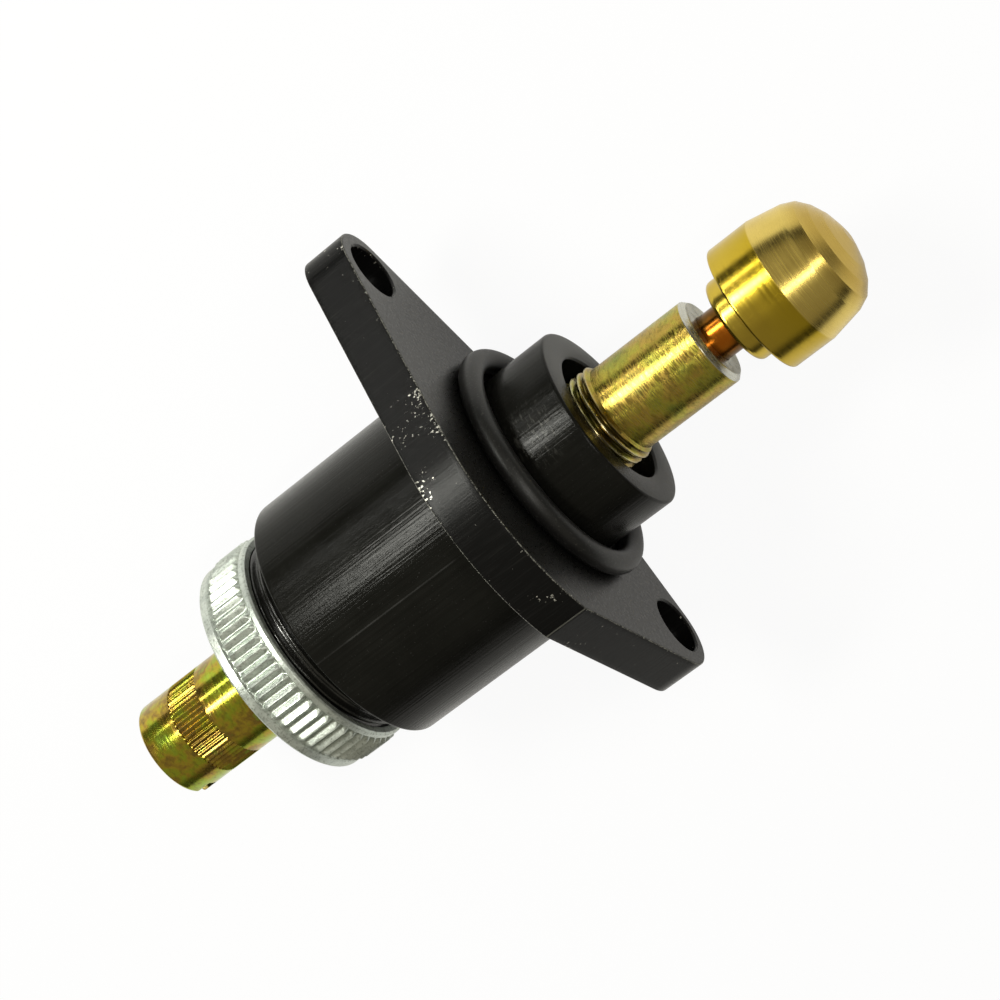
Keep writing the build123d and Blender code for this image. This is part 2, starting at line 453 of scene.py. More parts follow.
def on_circle(centre, radius, angle):
    """Point of a circle in the flange's plane, at an angle from +Y towards +Z."""
    return (centre[0] + radius * cos(angle), centre[1] + radius * sin(angle))


def arc(centre, radius, start, end):
    """Points of an arc from one angle to another, evenly spaced."""
    count = max(3, int(abs(end - start) * radius / arc_spacing) + 1)
    angle = np.linspace(start, end, count)
    return np.stack([centre[0] + radius * np.cos(angle), centre[1] + radius * np.sin(angle)], 1)


def seat_blend(depth, lower, side):
    """Centre and angle of the fillet between the round seat and a straight side.

    The side lies at that distance from the axis, square to the lower angle.
    """
    reach = lower_radius + lower_side_round
    swing = acos((depth + lower_side_round) / reach)
    centre_angle = lower + side * swing
    centre = on_circle((0, 0), reach, centre_angle)
    return centre, centre_angle


def flange_outline():
    """Closed outline of arcs, from +Y towards +Z: long ear, crown, short ear, fillet, round seat, fillet."""
    crown = (crown_shift, 0.0)
    long_ear = (long_ear_reach + long_ear_shift, 0.0)
    short_ear = (short_ear_shift - short_ear_reach, short_ear_rise)
    side_angle = acos((crown_radius - long_ear_radius) / (long_ear[0] - crown[0]))
    corner = on_circle(crown, crown_radius, crown_corner_angle)
    reach = (corner[0] - short_ear[0], corner[1] - short_ear[1])
    short_side_angle = atan2(reach[1], reach[0]) + acos(short_ear_radius / hypot(*reach))
    long_lower = lower_side_slope - pi / 2
    short_lower = -pi / 2 - lower_side_slope
    long_depth = long_ear[0] * cos(long_lower) + long_ear_radius
    short_depth = short_ear[0] * cos(short_lower) + short_ear[1] * sin(short_lower) + short_ear_radius
    short_centre, short_blend = seat_blend(short_depth, short_lower, -1)
    long_centre, long_blend = seat_blend(long_depth, long_lower, 1)
    return np.concatenate([
        arc(long_ear, long_ear_radius, long_lower, side_angle),
        arc(crown, crown_radius, side_angle, crown_corner_angle),
        arc(short_ear, short_ear_radius, short_side_angle, 2 * pi + short_lower),
        arc(short_centre, lower_side_round, short_lower + pi, short_blend + pi),
        arc((0, 0), lower_radius, short_blend, long_blend),
        arc(long_centre, lower_side_round, long_blend + pi, long_lower + pi),
    ])


def even_loop(loop, spacing):
    """Closed loop with points added along its straight sides, about spacing apart."""
    ring = np.concatenate([loop, loop[:1]])
    length = np.concatenate([[0], np.cumsum(np.linalg.norm(np.diff(ring, axis=0), axis=1))])
    extra = np.arange(0, length[-1], spacing)
    nearest = np.abs(extra[:, None] - length[None]).min(1)
    place = np.sort(np.concatenate([length[:-1], extra[nearest > spacing / 2]]))
    return np.stack([np.interp(place, length, ring[:, 0]), np.interp(place, length, ring[:, 1])], 1)


def inset_loop(loop, distance):
    """Closed loop moved to its left by a distance, each point along the mitre of its two sides."""
    ahead = np.roll(loop, -1, 0) - loop
    ahead /= np.linalg.norm(ahead, axis=1, keepdims=True)
    left = np.stack([-ahead[:, 1], ahead[:, 0]], 1)
    before = np.roll(left, 1, 0)
    mitre = left + before
    mitre /= (mitre * left).sum(1, keepdims=True)
    return loop + mitre * distance


def rim_wall():
    """Rows of (inset, x, edge wear) over the flange's rim, with a quarter round on both edges.

    On a quarter round the inset is its radius less the radius times the sine, and x goes by the cosine.
    """
    turn = np.linspace(0, pi / 2, len(edge_wear_rows))
    bend = flange_edge * (1 - np.sin(turn))
    drop = flange_edge * (1 - np.cos(turn))
    rim = np.linspace(flange_rear + rim_margin, flange_front - rim_margin, rim_rows)
    return np.concatenate([
        [(wear_reach, flange_rear, 0.0), (burr_reach, flange_rear, burr_wear)],
        np.stack([bend, flange_rear + drop, edge_wear_rows], 1),
        np.stack([0 * rim, rim, 0 * rim], 1),
        np.stack([bend[::-1], flange_front - drop[::-1], edge_wear_rows], 1),
        [(burr_reach, flange_front, burr_wear), (wear_reach, flange_front, 0.0)],
    ])


def bolt_hole_wall():
    """Rows of (inset, x, edge wear) through a bolt hole with a chamfer at both ends."""
    return np.array([
        (hole_wear_reach, flange_rear, 0.0),
        (bolt_hole_chamfer, flange_rear, hole_edge_wear),
        (0, flange_rear + bolt_hole_chamfer, hole_edge_wear),
        (0, flange_rear + rim_margin, 0.0),
        (0, flange_front - rim_margin, 0.0),
        (0, flange_front - bolt_hole_chamfer, hole_edge_wear),
        (bolt_hole_chamfer, flange_front, hole_edge_wear),
        (hole_wear_reach, flange_front, 0.0),
    ])


def flange_loops():
    """Closed loops of the flange, each with its wall's rows: outline, bolt holes, hole at the spigot."""
    outline = flange_outline()
    outline = outline[np.linalg.norm(outline - np.roll(outline, 1, 0), axis=1) > same_point]
    turn_back = -np.arange(bolt_hole_columns) * 2 * pi / bolt_hole_columns
    circle = np.stack([np.cos(turn_back), np.sin(turn_back)], 1)
    spigot_wall = np.array([(0, flange_rear, 0.0), (0, flange_front, 0.0)])
    return [
        (even_loop(outline, outline_spacing), rim_wall()),
        (circle * bolt_hole_radius + (long_ear_reach, 0), bolt_hole_wall()),
        (circle * bolt_hole_radius - (short_ear_reach, 0), bolt_hole_wall()),
        (circle * (spigot_radius - spigot_overlap), spigot_wall),
    ]


def flange_plate():
    """Flange: each row of a loop's wall is the loop moved in by the row's inset and set at its x.

    Flat faces fill between the outer loop and the holes, front and rear. A worn patch fades as e to the
    minus square of the distance over its radius.
    """
    points, wear, faces, rear_rings, front_rings = [], [], [], [], []
    base = 0
    for loop, rows in flange_loops():
        points += [np.insert(inset_loop(loop, inset), 0, x, axis=1) for inset, x, _ in rows]
        wear.append(np.repeat(rows[:, 2], len(loop)))
        faces.append(grid_faces(len(rows), len(loop)) + base)
        rear_rings.append(base + np.arange(len(loop)))
        base += len(rows) * len(loop)
        front_rings.append(base - len(loop) + np.arange(len(loop)))
    points = np.concatenate(points)
    faces.append(cap_faces(points, rear_rings, flip=True))
    faces.append(cap_faces(points, front_rings, flip=False))
    flat = np.abs(points[:, 0] + flange_thickness / 2) > flange_thickness / 2 - flat_touch
    worn = np.zeros(len(points))
    for place, radius, strength in worn_patches:
        worn += strength * np.exp(-((points - place) ** 2).sum(1) / radius**2)
    worn = np.where(flat, 0, worn)
    piece = set_mesh("flange_plate", points, faces)
    for name, values in (("edge_wear", np.concatenate(wear)), ("flat_face", flat), ("worn_patch", worn)):
        layer = piece.data.attributes.new(name, "FLOAT", "POINT")
        layer.data.foreach_set("value", values.astype(np.float32))
    return piece


def cap_faces(points, rings, flip):
    """Triangles of the flat face inside the first ring of points and outside the others, round holes."""
    index = np.concatenate(rings)
    flat = points[index][:, 1:]
    sizes = [len(ring) for ring in rings]
    start = np.repeat(np.cumsum([0] + sizes[:-1]), sizes)
    size = np.repeat(sizes, sizes)
    here = np.arange(len(index))
    edges = np.stack([here, start + (here - start + 1) % size], 1)
    _, _, triangles, _, _, _ = delaunay_2d_cdt([Vector(p) for p in flat], edges.tolist(), [], 2, flat_touch)
    triangles = np.array(triangles)
    ring = np.repeat(np.arange(len(rings)), sizes)[triangles]
    in_hole = (ring[:, 0] > 0) & (ring == ring[:, :1]).all(1)
    triangles = triangles[~in_hole]
    corner = flat[triangles]
    side, other = corner[:, 1] - corner[:, 0], corner[:, 2] - corner[:, 0]
    wrong = (side[:, 0] * other[:, 1] < side[:, 1] * other[:, 0]) != flip
    triangles[wrong] = triangles[wrong][:, ::-1]
    return index[triangles]


def ring_seal(name, ring_radius, section_radius, station):
    """O-ring: a circle of the section's radius carried round the ring."""
    angle = np.arange(seal_section_points) * 2 * pi / seal_section_points
    x = station - section_radius * np.cos(angle)
    r = ring_radius + section_radius * np.sin(angle)
    return turned_piece(name, np.stack([x, r], 1), seal_columns)


def spindle():
    """Spindle: knurled knob, shank, thread, sleeve and the stem's hole, turned as one closed profile."""
    knurl = rows_between(knob_knurl_rear, knob_knurl_front, shank_radius, knurl_row)
    front_thread = rows_between(hidden_thread_end, thread_front, thread_radius, thread_pitch / thread_rows)
    line = np.concatenate([
        [(spindle_rear, 0.0)],
        rounded_line([
            (spindle_rear, knob_face_ring, 0),
            (spindle_rear, shank_radius, shank_edge),
            (knob_knurl_rear - 2 * row_gap, shank_radius, 0),
        ]),
        [(knob_knurl_rear - row_gap, shank_radius)],
        knurl,
        [
            (knob_knurl_front + row_gap, shank_radius),
            (knob_knurl_front + 2 * row_gap, shank_radius),
            (seal_groove_rear, shank_radius),
            (seal_groove_rear, seal_groove_radius),
            (seal_groove_front, seal_groove_radius),
            (seal_groove_front, shank_radius),
            (shank_front, shank_radius),
            (shank_front, thread_radius),
            (hidden_thread_end - row_gap, thread_radius),
        ],
        front_thread,
        rounded_line([
            (thread_front + row_gap, sleeve_radius, 0),
            (sleeve_front - sleeve_edge, sleeve_radius, sleeve_round),
            (sleeve_front, sleeve_radius - sleeve_edge, sleeve_round),
            (sleeve_front, stem_hole_radius, stem_hole_round),
            (stem_hole_floor, stem_hole_radius, 0),
        ]),
        [(stem_hole_floor, 0.0)],
    ])
    thread_end = thread_front + thread_pitch
    thread = thread_relief(thread_pitch, thread_depth, hidden_thread_end, thread_end, thread_pitch)

    def relief(x, r, angle):
        on_thread = (np.abs(r - thread_radius) < flat_touch) & (x >= hidden_thread_end)
        on_knurl = (x >= knob_knurl_rear) & (x <= knob_knurl_front)
        edge_share = np.clip((thread_front - x) / thread_edge, 0, 1)
        run_out = sleeve_radius + (thread_radius - sleeve_radius) * edge_share
        ridges = knob_knurl_depth * ridge_wave(angle * knob_knurl_ridges / (2 * pi))
        r = np.where(on_thread, np.minimum(thread(x, r, angle), run_out), r)
        return np.where(on_knurl, r - ridges, r)

    piece = merge_poles(turned_piece("spindle_turning", line, spindle_columns, closed=False, relief=relief))
    cut_slot(piece)
    return piece


def cut_slot(piece):
    """Cuts the screwdriver slot across the knob's rear end."""
    low = np.array([spindle_rear - slot_spare, -shank_radius - slot_spare, -slot_width / 2])
    high = np.array([spindle_rear + slot_depth, shank_radius + slot_spare, slot_width / 2])
    corner = np.array([[i, j, k] for i in (0, 1) for j in (0, 1) for k in (0, 1)])
    faces = np.array([(0, 1, 3, 2), (4, 6, 7, 5), (0, 4, 5, 1), (2, 3, 7, 6), (0, 2, 6, 4), (1, 5, 7, 3)])
    turn = np.array([(1, 0, 0), (0, cos(slot_turn), -sin(slot_turn)), (0, sin(slot_turn), cos(slot_turn))])
    cutter = set_mesh("slot_cutter", (low + corner * (high - low)) @ turn.T, [faces])
    cut = piece.modifiers.new("slot", "BOOLEAN")
    cut.operation = "DIFFERENCE"
    cut.solver = "EXACT"
    cut.object = cutter
    shape = bpy.data.meshes.new_from_object(piece.evaluated_get(bpy.context.evaluated_depsgraph_get()))
    piece.modifiers.clear()
    piece.data = shape
    shape.set_sharp_from_angle(angle=radians(smooth_limit))
    bpy.data.objects.remove(cutter)
    mark_slot(shape)


def mark_slot(shape):
    """Gives the faces whose points all lie on the slot's walls and floor the attribute in_slot."""
    place = np.empty(3 * len(shape.vertices), np.float32)
    shape.vertices.foreach_get("co", place)
    x, y, z = place.reshape(-1, 3).T / MM
    across = np.abs(z * cos(slot_turn) - y * sin(slot_turn))
    near = (across < slot_width / 2 + slot_touch) & (x < spindle_rear + slot_depth + slot_touch)
    corners = np.empty(len(shape.loops), np.int32)
    shape.loops.foreach_get("vertex_index", corners)
    start = np.empty(len(shape.polygons), np.int32)
    shape.polygons.foreach_get("loop_start", start)
    layer = shape.attributes.new("in_slot", "FLOAT", "FACE")
    layer.data.foreach_set("value", np.minimum.reduceat(near[corners], start).astype(np.float32))


def pintle():
    """Pintle: stem, rounded collar, cylinder, cone and a dome of facets, as one profile.

    The dome's facets end on an oval: radius and height shares to the power of its fullness add up to one.
    """
    u = np.array(dome_stations)
    dome_radius = cone_front_radius * (1 - u**dome_fullness) ** (1 / dome_fullness)
    tip = dome_rear + dome_height
    line = np.concatenate([
        [(stem_rear, 0.0)],
        rounded_line([
            (stem_rear, stem_radius, 0),
            (collar_rear, stem_radius, stem_fillet),
            (collar_rear, collar_radius, collar_round),
            (head_rear, collar_radius, collar_fillet),
            (head_rear, head_radius, head_rear_edge),
            (cone_rear, head_radius, 0),
            (dome_rear, cone_front_radius, 0),
        ]),
        np.stack([dome_rear + dome_height * u, dome_radius], 1),
        [(tip, dome_radius[-1] / 2), (tip, 0.0)],
    ])
    piece = turned_piece("pintle_turning", line, pintle_columns, closed=False, sharp_angle=facet_limit)
    return merge_poles(piece)


def lock_nut():
    """Ring nut: plain margins and, in a groove, knurl ridges with straight flanks and rounded ends.

    A ridge falls off with the distance from its middle line, measured across it and past its ends.
    """
    rear = nut_rear + nut_rear_margin
    front = nut_front - nut_front_margin
    end_rows = (nut_ridge_end + nut_groove_slope) * (1 - np.cos(np.linspace(0, pi / 2, nut_ridge_end_rows)))
    middle_rows = np.linspace(rear, front, nut_band_rows)[2:-2]
    band_x = np.concatenate([rear + end_rows, middle_rows, front - end_rows[::-1]])
    band = np.stack([band_x, np.full(len(band_x), nut_rim_radius)], 1)
    bore = neck_radius + nut_bore_clearance
    line = np.concatenate([
        band,
        rounded_line([
            (nut_front - nut_edge, nut_rim_radius, nut_fillet),
            (nut_front, nut_rim_radius - nut_edge, nut_fillet),
            (nut_front, bore, nut_fillet),
            (nut_floor, bore, 0),
            (nut_floor, nut_hole_radius, 0),
            (nut_rear, nut_hole_radius, nut_hole_round),
            (nut_rear, nut_rim_radius - nut_edge, nut_fillet),
            (nut_rear + nut_edge, nut_rim_radius, nut_fillet),
        ]),
    ])
    on_band = (np.arange(len(line)) < len(band))[:, None]

    def relief(x, r, angle):
        inside = np.minimum(x - rear, front - x)
        sunk = np.clip(inside / nut_groove_slope, 0, 1)
        groove = nut_rim_radius - (nut_rim_radius - nut_groove_radius) * sunk
        across = np.abs((angle * nut_ridges / (2 * pi)) % 1 * 2 - 1) / nut_ridge_share
        along = 1 - np.clip((inside - nut_groove_slope / 2) / nut_ridge_end, 0, 1)
        away = np.sqrt(across**2 + along**2 + nut_ridge_round**2)
        bulge = np.clip(1 + nut_ridge_round - away, 0, 1)
        ridge = nut_groove_radius + (nut_radius - nut_groove_radius) * bulge
        return np.where(on_band, np.maximum(groove, ridge), r)

    columns = nut_ridges * nut_ridge_columns
    return turned_piece("lock_nut_turning", line, columns, relief=relief, sharp_angle=nut_smooth_limit)


def new_material(name, **settings):
    """Material with one Principled shader, its plain settings written on the sockets."""
    material = bpy.data.materials.new(name)
    material.use_nodes = True
    shader = material.node_tree.nodes["Principled BSDF"]
    for socket, value in settings.items():
        shader.inputs[socket.replace("_", " ")].default_value = value
    return material, material.node_tree, shader


def add_node(tree, kind, **values):
    """Node with some of its inputs set, by name."""
    node = tree.nodes.new(kind)
    for socket, value in values.items():
        node.inputs[socket.replace("_", " ")].default_value = value
    return node


def noise(tree, size, stretch, detail, roughness):
    """Noise on Object coordinates, its features about that size in millimetres, stretched along the axes."""
    place = tree.nodes.new("ShaderNodeTexCoord")
    mapping = add_node(tree, "ShaderNodeMapping", Scale=tuple(1 / (s * size * MM) for s in stretch))
    texture = add_node(tree, "ShaderNodeTexNoise", Scale=1.0, Detail=detail, Roughness=roughness)
    tree.links.new(place.outputs["Object"], mapping.inputs["Vector"])
    tree.links.new(mapping.outputs["Vector"], texture.inputs["Vector"])
    return texture.outputs["Fac"]


def ramp(tree, factor, stops):
    """Colour ramp of (place, colour) stops."""
    node = tree.nodes.new("ShaderNodeValToRGB")
    points = node.color_ramp.elements
    while len(points) < len(stops):
        points.new(0.5)
    for point, (place, colour) in zip(points, stops):
        point.position = place
        point.color = (*colour, 1) if len(colour) == 3 else colour
    tree.links.new(factor, node.inputs["Fac"])
    return node.outputs["Color"]


def grey(value):
    """Grey colour of one value."""
    return (value, value, value)


def spread(tree, factor, span, result):
    """Factor brought from one span of values to another, clamped at both ends."""
    limits = {"From_Min": span[0], "From_Max": span[1], "To_Min": result[0], "To_Max": result[1]}
    node = add_node(tree, "ShaderNodeMapRange", **limits)
    tree.links.new(factor, node.inputs["Value"])
    return node.outputs["Result"]


def calc(tree, operation, first, second):
    """Math node of two values, each a socket or a number."""
    node = tree.nodes.new("ShaderNodeMath")
    node.operation = operation
    for slot, value in enumerate((first, second)):
        if isinstance(value, (int, float)):
            node.inputs[slot].default_value = value
        else:
            tree.links.new(value, node.inputs[slot])
    return node.outputs["Value"]


def mix(tree, factor, first, second):
    """Colour between two colours or sockets by a factor."""
    node = tree.nodes.new("ShaderNodeMix")
    node.data_type = "RGBA"
    tree.links.new(factor, node.inputs["Factor"])
    for slot, value in (("A", first), ("B", second)):
        socket = next(s for s in node.inputs if s.name == slot and s.type == "RGBA")
        if isinstance(value, tuple):
            socket.default_value = (*value, 1)
        else:
            tree.links.new(value, socket)
    return next(s for s in node.outputs if s.type == "RGBA")


def bump(tree, shader, height, distance, strength):
    """Bump of a height socket, its distance in millimetres."""
    node = add_node(tree, "ShaderNodeBump", Strength=strength, Distance=distance * MM)
    tree.links.new(height, node.inputs["Height"])
    tree.links.new(node.outputs["Normal"], shader.inputs["Normal"])


def attribute(tree, name):
    """Value of a named attribute of the mesh."""
    node = tree.nodes.new("ShaderNodeAttribute")
    node.attribute_name = name
    return node.outputs["Fac"]


def nearness(tree, place, reach, axes=all_axes):
    """One at a place and nought beyond the reach, measured along the chosen axes, in millimetres."""
    spot = tree.nodes.new("ShaderNodeTexCoord")
    chosen = tree.nodes.new("ShaderNodeVectorMath")
    chosen.operation = "MULTIPLY"
    chosen.inputs[1].default_value = axes
    distance = tree.nodes.new("ShaderNodeVectorMath")
    distance.operation = "DISTANCE"
    distance.inputs[1].default_value = tuple(a * p * MM for a, p in zip(axes, place))
    tree.links.new(spot.outputs["Object"], chosen.inputs[0])
    tree.links.new(chosen.outputs["Vector"], distance.inputs[0])
    return spread(tree, distance.outputs["Value"], (0, reach * MM), (1, 0))


def along_axis(tree, stops):
    """Colour ramp along the valve's axis, its (x, colour) stops in millimetres."""
    start, end = stops[0][0], stops[-1][0]
    place = tree.nodes.new("ShaderNodeTexCoord")
    split = tree.nodes.new("ShaderNodeSeparateXYZ")
    tree.links.new(place.outputs["Object"], split.inputs["Vector"])
    share = spread(tree, split.outputs["X"], (start * MM, end * MM), (0, 1))
    return ramp(tree, share, [((x - start) / (end - start), colour) for x, colour in stops])


def black_turning():
    """Black anodised turning: fine lines along the axis, soft clouds and specks of dust."""
    material, tree, shader = new_material("black_turning")
    lines = noise(tree, *turning_lines)
    grain = noise(tree, *turning_grain)
    cloud = noise(tree, *turning_cloud)
    tone = calc(tree, "MULTIPLY", lines, cloud)
    colour = ramp(tree, tone, [(0.1, dark_black), (0.45, light_black)])
    speck = spread(tree, grain, (0.68, 0.76), (0, 0.08))
    colour = mix(tree, speck, colour, dust_grey)
    scratch = nearness(tree, *barrel_scratch, off_axis)
    scratch = calc(tree, "MULTIPLY", scratch, spread(tree, cloud, (0.4, 0.6), (0, 0.3)))
    colour = mix(tree, scratch, colour, scratch_grey)
    # Scuffs on the spigot, lightened where the highlight falls: real scuffs and a painted highlight
    scuff_and_highlight = nearness(tree, *spigot_scuff_and_highlight)
    scrape = noise(tree, *spigot_scrapes)
    scuff_and_highlight = calc(tree, "MULTIPLY", scuff_and_highlight, spread(tree, scrape, (0.52, 0.66), (0, 0.5)))
    tree.links.new(mix(tree, scuff_and_highlight, colour, scuff_and_highlight_grey), shader.inputs["Base Color"])
    shine = along_axis(tree, [
        (neck_rear, grey(0.7)),
        (barrel_rear - row_gap, grey(0.7)),
        (barrel_rear, grey(0.085)),
        (spigot_reach, grey(0.12)),
    ])
    tree.links.new(shine, shader.inputs["Specular IOR Level"])
    tree.links.new(spread(tree, tone, (0.1, 0.45), (0.12, 0.24)), shader.inputs["Roughness"])
    height = calc(tree, "ADD", lines, calc(tree, "MULTIPLY", grain, 0.3))
    bump(tree, shader, height, distance=0.03, strength=0.8)
    return material


def black_flange():
    """Black anodised plate: grained faces, fine lines across the rim, pale burrs and bare specks."""
    material, tree, shader = new_material("black_flange")
    flat = attribute(tree, "flat_face")
    wear = attribute(tree, "edge_wear")
    grain = noise(tree, *flange_grain)
    lines = noise(tree, *rim_lines)
    rim_colour = ramp(tree, lines, [(0.5, grey(0.005)), (0.64, grey(0.008)), (0.76, (0.014, 0.014, 0.012))])
    face_colour = ramp(tree, grain, [(0.35, grey(0.003)), (0.5, grey(0.006)), (0.68, grey(0.022))])
    colour = mix(tree, flat, rim_colour, face_colour)
    burr = spread(tree, wear, (0.9, 1.0), (0, 0.7))
    burr = calc(tree, "MULTIPLY", burr, spread(tree, grain, (0.42, 0.62), (0, 1)))
    corner = on_circle((crown_shift, 0.0), crown_radius, crown_corner_angle)
    corner_line = nearness(tree, (0, *corner), corner_line_reach, off_axis)
    corner_line = spread(tree, corner_line, (0.5, 0.7), (0, 0.3))
    burr = calc(tree, "MAXIMUM", burr, corner_line)
    colour = mix(tree, burr, colour, burr_grey)
    chips = noise(tree, *rim_chips)
    patch = calc(tree, "MULTIPLY", attribute(tree, "worn_patch"), 0.24)
    worn = calc(tree, "ADD", patch, calc(tree, "MULTIPLY", wear, 0.08))
    bare = spread(tree, calc(tree, "ADD", chips, worn), (0.73, 0.78), (0, 1))
    tree.links.new(mix(tree, bare, colour, bare_aluminium), shader.inputs["Base Color"])
    tree.links.new(calc(tree, "MULTIPLY", bare, 0.5), shader.inputs["Metallic"])
    satin = spread(tree, noise(tree, *flange_satin), (0.35, 0.65), (0.26, 0.38))
    tree.links.new(mix(tree, flat, grey(0.26), satin), shader.inputs["Roughness"])
    tree.links.new(spread(tree, flat, (0, 1), (0.11, 0.42)), shader.inputs["Specular IOR Level"])
    height = calc(tree, "ADD", calc(tree, "MULTIPLY", grain, 0.4), lines)
    bump(tree, shader, height, distance=0.02, strength=0.6)
    return material


def black_rubber():
    """Satin black rubber with a fine grain and a little dust."""
    material, tree, shader = new_material("black_rubber", Specular_IOR_Level=0.4)
    grain = noise(tree, *rubber_grain)
    cloud = noise(tree, *rubber_cloud)
    colour = ramp(tree, cloud, [(0.3, grey(0.008)), (0.7, grey(0.016))])
    dust = spread(tree, noise(tree, *rubber_specks), (0.58, 0.72), (0, 0.4))
    tree.links.new(mix(tree, dust, colour, rubber_dust), shader.inputs["Base Color"])
    tree.links.new(spread(tree, grain, (0, 1), (0.32, 0.46)), shader.inputs["Roughness"])
    bump(tree, shader, grain, distance=0.006, strength=0.5)
    return material


def yellow_zinc():
    """Yellow passivated zinc: gold sleeve, greener knob, dark knurl, bare crests and a bare chamfer at the
    end.

    Painted shade darkens the thread's grooves, the sleeve's end face, the knob's slot and the shank by the
    nut.
    """
    material, tree, shader = new_material("yellow_zinc")
    cloud = noise(tree, *zinc_cloud)
    gold = ramp(tree, cloud, sleeve_clouds)
    green = ramp(tree, cloud, knob_clouds)
    knob = along_axis(tree, [(spindle_rear, grey(1)), (shank_front, grey(1)), (thread_front, grey(0))])
    colour = mix(tree, knob, gold, green)
    mottle = noise(tree, *zinc_mottle)
    colour = mix(tree, spread(tree, mottle, (0.32, 0.5), (0.6, 0)), colour, mottle_brown)
    knurl = along_axis(tree, [
        (knob_knurl_rear - row_gap, grey(0)),
        (knob_knurl_rear, grey(0.3)),
        (knob_knurl_front, grey(0.3)),
        (knob_knurl_front + row_gap, grey(0)),
    ])
    colour = mix(tree, knurl, colour, knurl_brown)
    depth = nearness(tree, (0, 0, 0), thread_radius, off_axis)
    on_thread = along_axis(tree, [
        (shank_front, grey(0)),
        (hidden_thread_end, grey(1)),
        (thread_front - thread_edge, grey(1)),
        (thread_front, grey(0)),
    ])
    crest = calc(tree, "MULTIPLY", on_thread, spread(tree, depth, (0, thread_crest), (0.6, 0)))
    # Painted shade in the thread's grooves, darker with depth
    groove = spread(tree, depth, (thread_crest, thread_valley), (0, 0.85))
    groove = calc(tree, "MULTIPLY", on_thread, groove)
    colour = mix(tree, crest, colour, crest_zinc)
    colour = mix(tree, groove, colour, painted_shade_brown)
    edge = sleeve_front - sleeve_edge
    bare = along_axis(tree, [(edge - row_gap, grey(0)), (edge, grey(1)), (sleeve_front, grey(1))])
    colour = mix(tree, bare, colour, bare_zinc)
    # Painted shade on the sleeve's front face
    end_face_shading = along_axis(tree, [
        (edge, grey(0)),
        (sleeve_front - row_gap, grey(0)),
        (sleeve_front, grey(0.6)),
    ])
    colour = mix(tree, end_face_shading, colour, end_face_shade)
    # Painted shadow of the nut on the shank where it enters the nut, and painted shade in the slot
    painted_shade = along_axis(tree, [(nut_rear + x, grey(share)) for x, share in nut_shadow_on_shank])
    painted_shade = calc(tree, "MAXIMUM", painted_shade, calc(tree, "MULTIPLY", attribute(tree, "in_slot"), 0.85))
    tree.links.new(mix(tree, painted_shade, colour, painted_shade_brown), shader.inputs["Base Color"])
    tree.links.new(spread(tree, knob, (0, 1), (0.95, 0.88)), shader.inputs["Metallic"])
    marks = noise(tree, *zinc_marks)
    polish = spread(tree, marks, (0.35, 0.65), (0.14, 0.38))
    polish = calc(tree, "MULTIPLY", polish, spread(tree, knob, (0, 1), (1.0, 0.55)))
    tree.links.new(polish, shader.inputs["Roughness"])
    height = calc(tree, "MULTIPLY", marks, spread(tree, knob, (0, 1), (1.0, 0.2)))
    bump(tree, shader, height, distance=0.03, strength=0.7)
    return material


def white_zinc():
    """White zinc plating: pale, faintly green metal with matt clouds and small dark pits.

    The knurl's valleys carry painted shade.
    """
    material, tree, shader = new_material("white_zinc", Metallic=0.78)
    cloud = noise(tree, *plating_cloud)
    pits = noise(tree, *plating_pits)
    colour = ramp(tree, cloud, [(0.3, dull_zinc), (0.7, bright_zinc)])
    shade = spread(tree, pits, (0.52, 0.68), (0, 0.6))
    band = along_axis(tree, [
        (nut_rear, grey(0)),
        (nut_rear + nut_rear_margin, grey(0)),
        (nut_rear + nut_rear_margin + nut_groove_slope, grey(0.4)),
        (nut_front - nut_front_margin - nut_groove_slope, grey(0.4)),
        (nut_front - nut_front_margin, grey(0)),
        (nut_front, grey(0)),
    ])
    depth = nearness(tree, (0, 0, 0), nut_radius, off_axis)
    # Painted shade in the knurl's valleys, darker with depth
    valley = calc(tree, "MULTIPLY", band, spread(tree, depth, (nut_crest, nut_valley), (0, 1)))
    colour = mix(tree, valley, colour, valley_shade_zinc)
    tree.links.new(mix(tree, shade, colour, pit_zinc), shader.inputs["Base Color"])
    tree.links.new(spread(tree, cloud, (0.3, 0.7), (0.28, 0.46)), shader.inputs["Roughness"])
    bump(tree, shader, pits, distance=0.03, strength=0.7)
    return material


